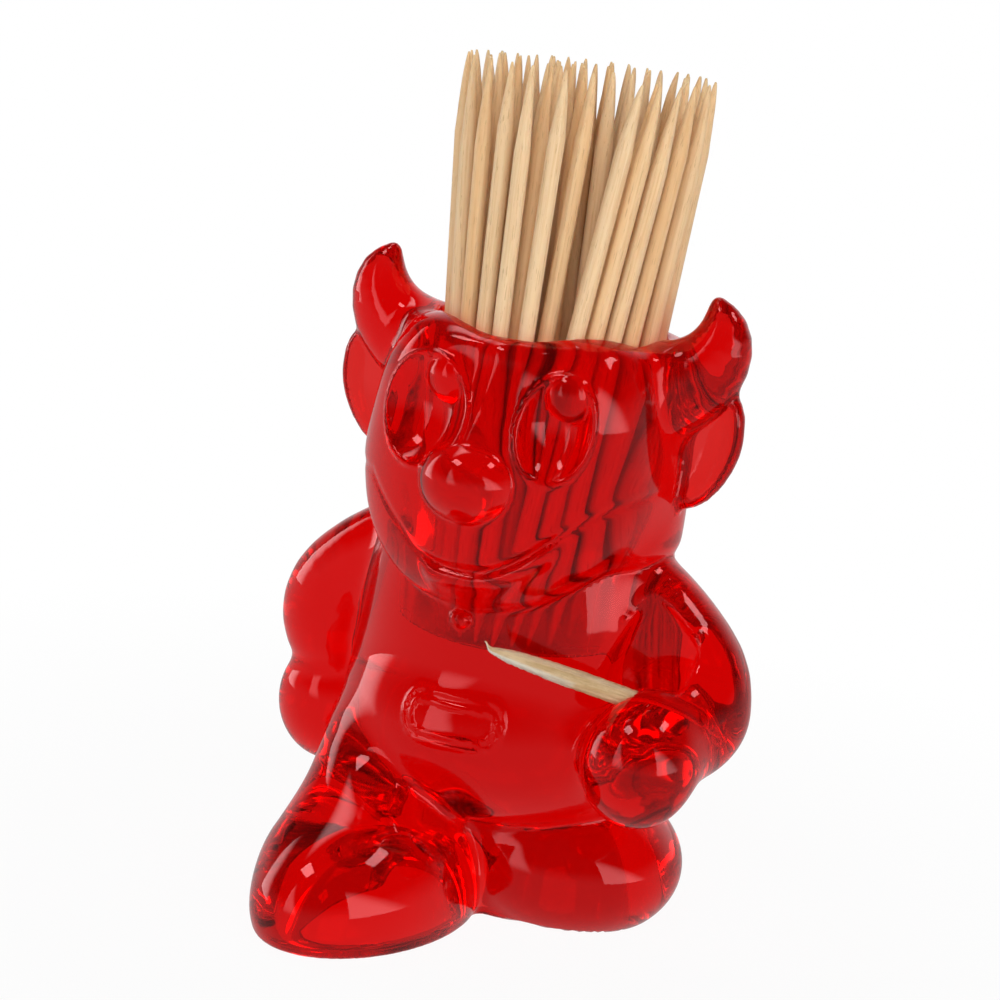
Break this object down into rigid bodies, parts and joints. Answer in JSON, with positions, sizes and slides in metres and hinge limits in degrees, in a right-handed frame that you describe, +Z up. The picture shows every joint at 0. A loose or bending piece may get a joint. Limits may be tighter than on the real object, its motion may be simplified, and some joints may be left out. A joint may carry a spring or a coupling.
{
  "type": "toothpick dispenser",
  "caption": "Free-standing toothpick holder: a horned devil figure in clear red plastic with a well in its head full of loose round toothpicks and one held in a fist.",
  "frame": {"origin": "on the table under the middle of the whole outline seen from above", "axes": "+Z up, the figure's face looks along -Y, its own left arm, the one that holds a pick, is on +X"},
  "size_m": [0.0594, 0.05, 0.0971],
  "materials": {
    "red_plastic": "clear transparent red, polished",
    "birch": "bare tumbled birch"
  },
  "bodies": {
    "figure": {"devil_figure": "red_plastic"},
    "front_toothpick_01": {"front_toothpick_01": "birch"},
    "front_toothpick_02": {"front_toothpick_02": "birch"},
    "front_toothpick_03": {"front_toothpick_03": "birch"},
    "front_toothpick_04": {"front_toothpick_04": "birch"},
    "front_toothpick_05": {"front_toothpick_05": "birch"},
    "front_toothpick_06": {"front_toothpick_06": "birch"},
    "front_toothpick_07": {"front_toothpick_07": "birch"},
    "front_toothpick_08": {"front_toothpick_08": "birch"},
    "front_toothpick_09": {"front_toothpick_09": "birch"},
    "front_toothpick_10": {"front_toothpick_10": "birch"},
    "front_toothpick_11": {"front_toothpick_11": "birch"},
    "front_toothpick_12": {"front_toothpick_12": "birch"},
    "inner_toothpick_01": {"inner_toothpick_01": "birch"},
    "inner_toothpick_02": {"inner_toothpick_02": "birch"},
    "inner_toothpick_03": {"inner_toothpick_03": "birch"},
    "inner_toothpick_04": {"inner_toothpick_04": "birch"},
    "back_toothpicks_right": {"back_toothpicks_right": "birch"},
    "back_toothpicks_middle": {"back_toothpicks_middle": "birch"},
    "back_toothpicks_left": {"back_toothpicks_left": "birch"},
    "second_row_toothpicks_left": {"second_row_toothpicks_left": "birch"},
    "second_row_toothpicks_right": {"second_row_toothpicks_right": "birch"},
    "second_row_toothpicks_back_right": {"second_row_toothpicks_back_right": "birch"},
    "second_row_toothpicks_back_left": {"second_row_toothpicks_back_left": "birch"},
    "third_row_toothpicks_front": {"third_row_toothpicks_front": "birch"},
    "third_row_toothpicks_right": {"third_row_toothpicks_right": "birch"},
    "third_row_toothpicks_left": {"third_row_toothpicks_left": "birch"},
    "core_toothpicks": {"core_toothpicks": "birch"},
    "held_toothpick": {"held_toothpick": "birch"}
  },
  "joints": [
    {"name": "front_toothpick_01_draw", "type": "slide", "parent": "figure", "child": "front_toothpick_01", "axis": [-0.0461, -0.0222, 0.9987], "range_m": [0, 0.07]},
    {"name": "front_toothpick_02_draw", "type": "slide", "parent": "figure", "child": "front_toothpick_02", "axis": [-0.0233, -0.0544, 0.9982], "range_m": [0, 0.07]},
    {"name": "front_toothpick_03_draw", "type": "slide", "parent": "figure", "child": "front_toothpick_03", "axis": [-0.0017, -0.0621, 0.9981], "range_m": [0, 0.07]},
    {"name": "front_toothpick_04_draw", "type": "slide", "parent": "figure", "child": "front_toothpick_04", "axis": [0.0184, -0.0566, 0.9982], "range_m": [0, 0.07]},
    {"name": "front_toothpick_05_draw", "type": "slide", "parent": "figure", "child": "front_toothpick_05", "axis": [0.0297, -0.0583, 0.9979], "range_m": [0, 0.07]},
    {"name": "front_toothpick_06_draw", "type": "slide", "parent": "figure", "child": "front_toothpick_06", "axis": [0.0581, -0.0496, 0.9971], "range_m": [0, 0.07]},
    {"name": "front_toothpick_07_draw", "type": "slide", "parent": "figure", "child": "front_toothpick_07", "axis": [0.1448, -0.0166, 0.9893], "range_m": [0, 0.07]},
    {"name": "front_toothpick_08_draw", "type": "slide", "parent": "figure", "child": "front_toothpick_08", "axis": [0.1431, -0.0099, 0.9897], "range_m": [0, 0.07]},
    {"name": "front_toothpick_09_draw", "type": "slide", "parent": "figure", "child": "front_toothpick_09", "axis": [0.1437, -0.0044, 0.9896], "range_m": [0, 0.07]},
    {"name": "front_toothpick_10_draw", "type": "slide", "parent": "figure", "child": "front_toothpick_10", "axis": [0.1265, 0.014, 0.9919], "range_m": [0, 0.07]},
    {"name": "front_toothpick_11_draw", "type": "slide", "parent": "figure", "child": "front_toothpick_11", "axis": [0.1103, 0.016, 0.9938], "range_m": [0, 0.07]},
    {"name": "front_toothpick_12_draw", "type": "slide", "parent": "figure", "child": "front_toothpick_12", "axis": [0.0873, 0.033, 0.9956], "range_m": [0, 0.07]},
    {"name": "inner_toothpick_01_draw", "type": "slide", "parent": "figure", "child": "inner_toothpick_01", "axis": [0.0356, -0.0469, 0.9983], "range_m": [0, 0.07]},
    {"name": "inner_toothpick_02_draw", "type": "slide", "parent": "figure", "child": "inner_toothpick_02", "axis": [0.0822, -0.0368, 0.9959], "range_m": [0, 0.07]},
    {"name": "inner_toothpick_03_draw", "type": "slide", "parent": "figure", "child": "inner_toothpick_03", "axis": [0.1339, -0.0044, 0.991], "range_m": [0, 0.07]},
    {"name": "inner_toothpick_04_draw", "type": "slide", "parent": "figure", "child": "inner_toothpick_04", "axis": [0.1083, 0.0098, 0.9941], "range_m": [0, 0.07]},
    {"name": "back_toothpicks_right_draw", "type": "slide", "parent": "figure", "child": "back_toothpicks_right", "axis": [0.0536, 0.0585, 0.9968], "range_m": [0, 0.07]},
    {"name": "back_toothpicks_middle_draw", "type": "slide", "parent": "figure", "child": "back_toothpicks_middle", "axis": [-0.0115, 0.0681, 0.9976], "range_m": [0, 0.07]},
    {"name": "back_toothpicks_left_draw", "type": "slide", "parent": "figure", "child": "back_toothpicks_left", "axis": [-0.0585, 0.0168, 0.9981], "range_m": [0, 0.07]},
    {"name": "second_row_toothpicks_left_draw", "type": "slide", "parent": "figure", "child": "second_row_toothpicks_left", "axis": [-0.0359, -0.0303, 0.9989], "range_m": [0, 0.07]},
    {"name": "second_row_toothpicks_right_draw", "type": "slide", "parent": "figure", "child": "second_row_toothpicks_right", "axis": [0.0691, 0.0263, 0.9973], "range_m": [0, 0.07]},
    {"name": "second_row_toothpicks_back_right_draw", "type": "slide", "parent": "figure", "child": "second_row_toothpicks_back_right", "axis": [0.0227, 0.0602, 0.9979], "range_m": [0, 0.07]},
    {"name": "second_row_toothpicks_back_left_draw", "type": "slide", "parent": "figure", "child": "second_row_toothpicks_back_left", "axis": [-0.044, 0.0271, 0.9987], "range_m": [0, 0.07]},
    {"name": "third_row_toothpicks_front_draw", "type": "slide", "parent": "figure", "child": "third_row_toothpicks_front", "axis": [0.0276, -0.043, 0.9987], "range_m": [0, 0.07]},
    {"name": "third_row_toothpicks_right_draw", "type": "slide", "parent": "figure", "child": "third_row_toothpicks_right", "axis": [0.0474, 0.037, 0.9982], "range_m": [0, 0.07]},
    {"name": "third_row_toothpicks_left_draw", "type": "slide", "parent": "figure", "child": "third_row_toothpicks_left", "axis": [-0.0362, 0.0192, 0.9992], "range_m": [0, 0.07]},
    {"name": "core_toothpicks_draw", "type": "slide", "parent": "figure", "child": "core_toothpicks", "axis": [0, 0, 1], "range_m": [0, 0.07]},
    {"name": "held_toothpick_draw", "type": "slide", "parent": "figure", "child": "held_toothpick", "axis": [-0.8222, -0.5, 0.2722], "range_m": [0, 0.03]}
  ]
}
